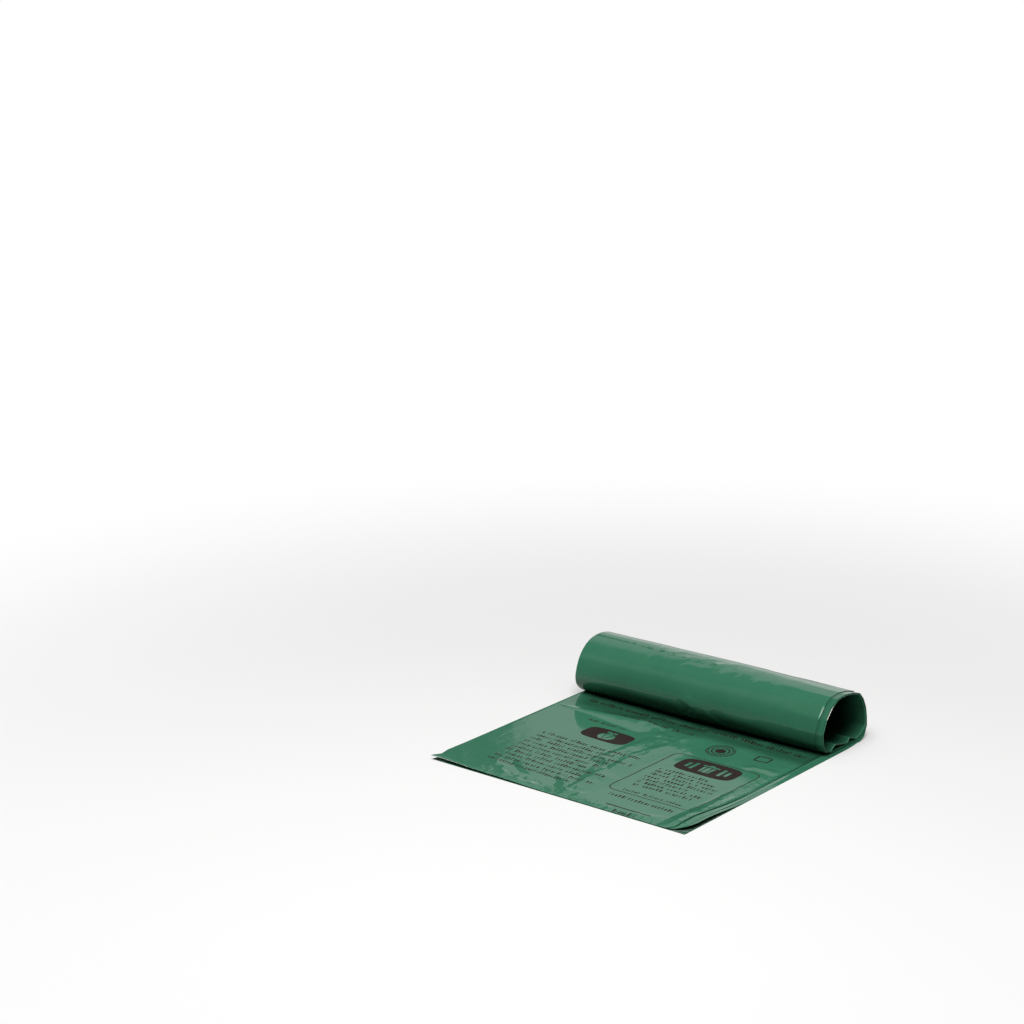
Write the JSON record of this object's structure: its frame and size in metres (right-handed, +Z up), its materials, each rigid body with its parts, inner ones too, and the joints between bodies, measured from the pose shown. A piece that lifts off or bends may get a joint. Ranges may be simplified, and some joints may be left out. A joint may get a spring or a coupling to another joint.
{
  "type": "bin bag roll",
  "caption": "Coreless slumped roll of gusseted polythene bin bags, with its first bag unrolled flat on the floor.",
  "frame": {"origin": "on the floor, under the middle of the whole thing", "axes": "+X along the roll towards its open end, +Y from the torn edge of the free bag to the roll, +Z up"},
  "size_m": [0.42, 0.4504, 0.0815],
  "materials": {
    "film": "glossy thin polythene film"
  },
  "bodies": {
    "root": {"bag_roll": "film"}
  },
  "joints": []
}
